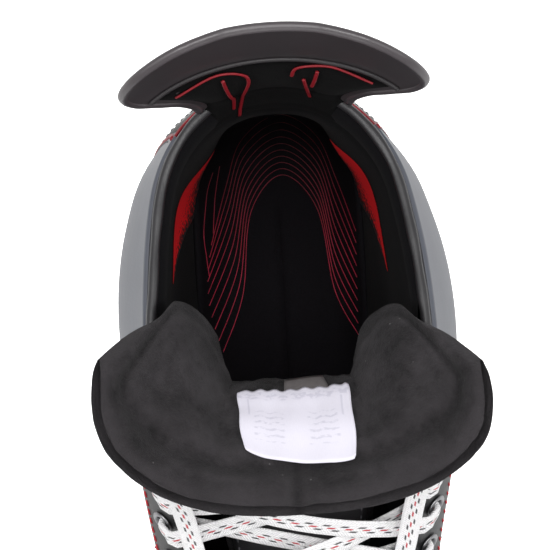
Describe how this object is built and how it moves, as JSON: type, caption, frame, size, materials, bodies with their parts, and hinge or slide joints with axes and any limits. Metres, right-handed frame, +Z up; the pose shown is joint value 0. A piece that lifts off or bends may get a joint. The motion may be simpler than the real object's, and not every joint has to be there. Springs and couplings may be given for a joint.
{
  "type": "ice hockey skate",
  "caption": "Right-foot ice hockey skate: padded boot with flex tongue and tendon guard, laced eyelets, white holder and steel runner.",
  "frame": {"origin": "on the runner's flat gliding edge, midway along its flat stretch and on its middle line", "axes": "+X towards the toe, +Y towards the inner (medial) side, +Z up through the boot"},
  "size_m": [0.3028, 0.1268, 0.2895],
  "materials": {
    "shell": "black synthetic boot leather, satin, with a blue-grey ankle panel",
    "toe_cap": "moulded black toe cap, glossy",
    "lining": "black brushed microfibre lining",
    "foam": "closed-cell foam",
    "board": "pressed fibre board",
    "footbed": "black knit with red contour lines",
    "plastic": "moulded black plastic",
    "guard": "moulded charcoal plastic, satin",
    "facing": "black reinforced eyelet strip with red stitching",
    "felt": "thick charcoal felt",
    "label": "white sewn label",
    "lace": "flat white woven lace with black and red flecks",
    "aglet": "clear-white plastic tip",
    "holder": "white moulded nylon",
    "steel": "ground and polished steel",
    "eyelet": "grey nickel finish"
  },
  "bodies": {
    "boot": {"quarter_medial": "shell", "ankle_pad_medial": "foam", "liner_medial": "lining", "facing_medial": "facing", "lace_strand_medial": "lace", "lace_end_medial": "lace", "aglet_medial": "aglet", "eyelet_medial_1": "eyelet", "eyelet_medial_2": "eyelet", "eyelet_medial_3": "eyelet", "eyelet_medial_4": "eyelet", "eyelet_medial_5": "eyelet", "eyelet_medial_6": "eyelet", "eyelet_medial_7": "eyelet", "eyelet_medial_8": "eyelet", "eyelet_medial_9": "eyelet", "quarter_lateral": "shell", "ankle_pad_lateral": "foam", "liner_lateral": "lining", "facing_lateral": "facing", "lace_strand_lateral": "lace", "lace_end_lateral": "lace", "aglet_lateral": "aglet", "eyelet_lateral_1": "eyelet", "eyelet_lateral_2": "eyelet", "eyelet_lateral_3": "eyelet", "eyelet_lateral_4": "eyelet", "eyelet_lateral_5": "eyelet", "eyelet_lateral_6": "eyelet", "eyelet_lateral_7": "eyelet", "eyelet_lateral_8": "eyelet", "eyelet_lateral_9": "eyelet", "lace_knot": "lace", "toe_cap": "toe_cap", "outsole": "plastic", "insole_board": "board", "footbed": "footbed", "heel_counter": "plastic", "tongue_lower": "felt", "blade_holder": "holder", "runner": "steel", "runner_bolt_1": "steel", "runner_bolt_2": "steel", "runner_nut_1": "steel", "runner_nut_2": "steel", "rivet_1": "eyelet", "rivet_2": "eyelet", "rivet_3": "eyelet", "rivet_4": "eyelet", "rivet_5": "eyelet", "rivet_6": "eyelet", "rivet_7": "eyelet", "rivet_8": "eyelet"},
    "tongue": {"tongue_top": "felt", "tongue_label": "label", "tongue_tab": "plastic"},
    "guard": {"guard_shell": "guard", "guard_pad": "lining"}
  },
  "joints": [
    {"name": "tongue_flex", "type": "hinge", "parent": "boot", "child": "tongue", "pos_m": [-0.026, 0, 0.216], "axis": [0, 1, 0], "range_deg": [-7, 3]},
    {"name": "guard_flex", "type": "hinge", "parent": "boot", "child": "guard", "pos_m": [-0.133, 0, 0.2155], "axis": [0, 1, 0], "range_deg": [-30, 0], "stiffness_Nm_per_rad": 0.8}
  ]
}
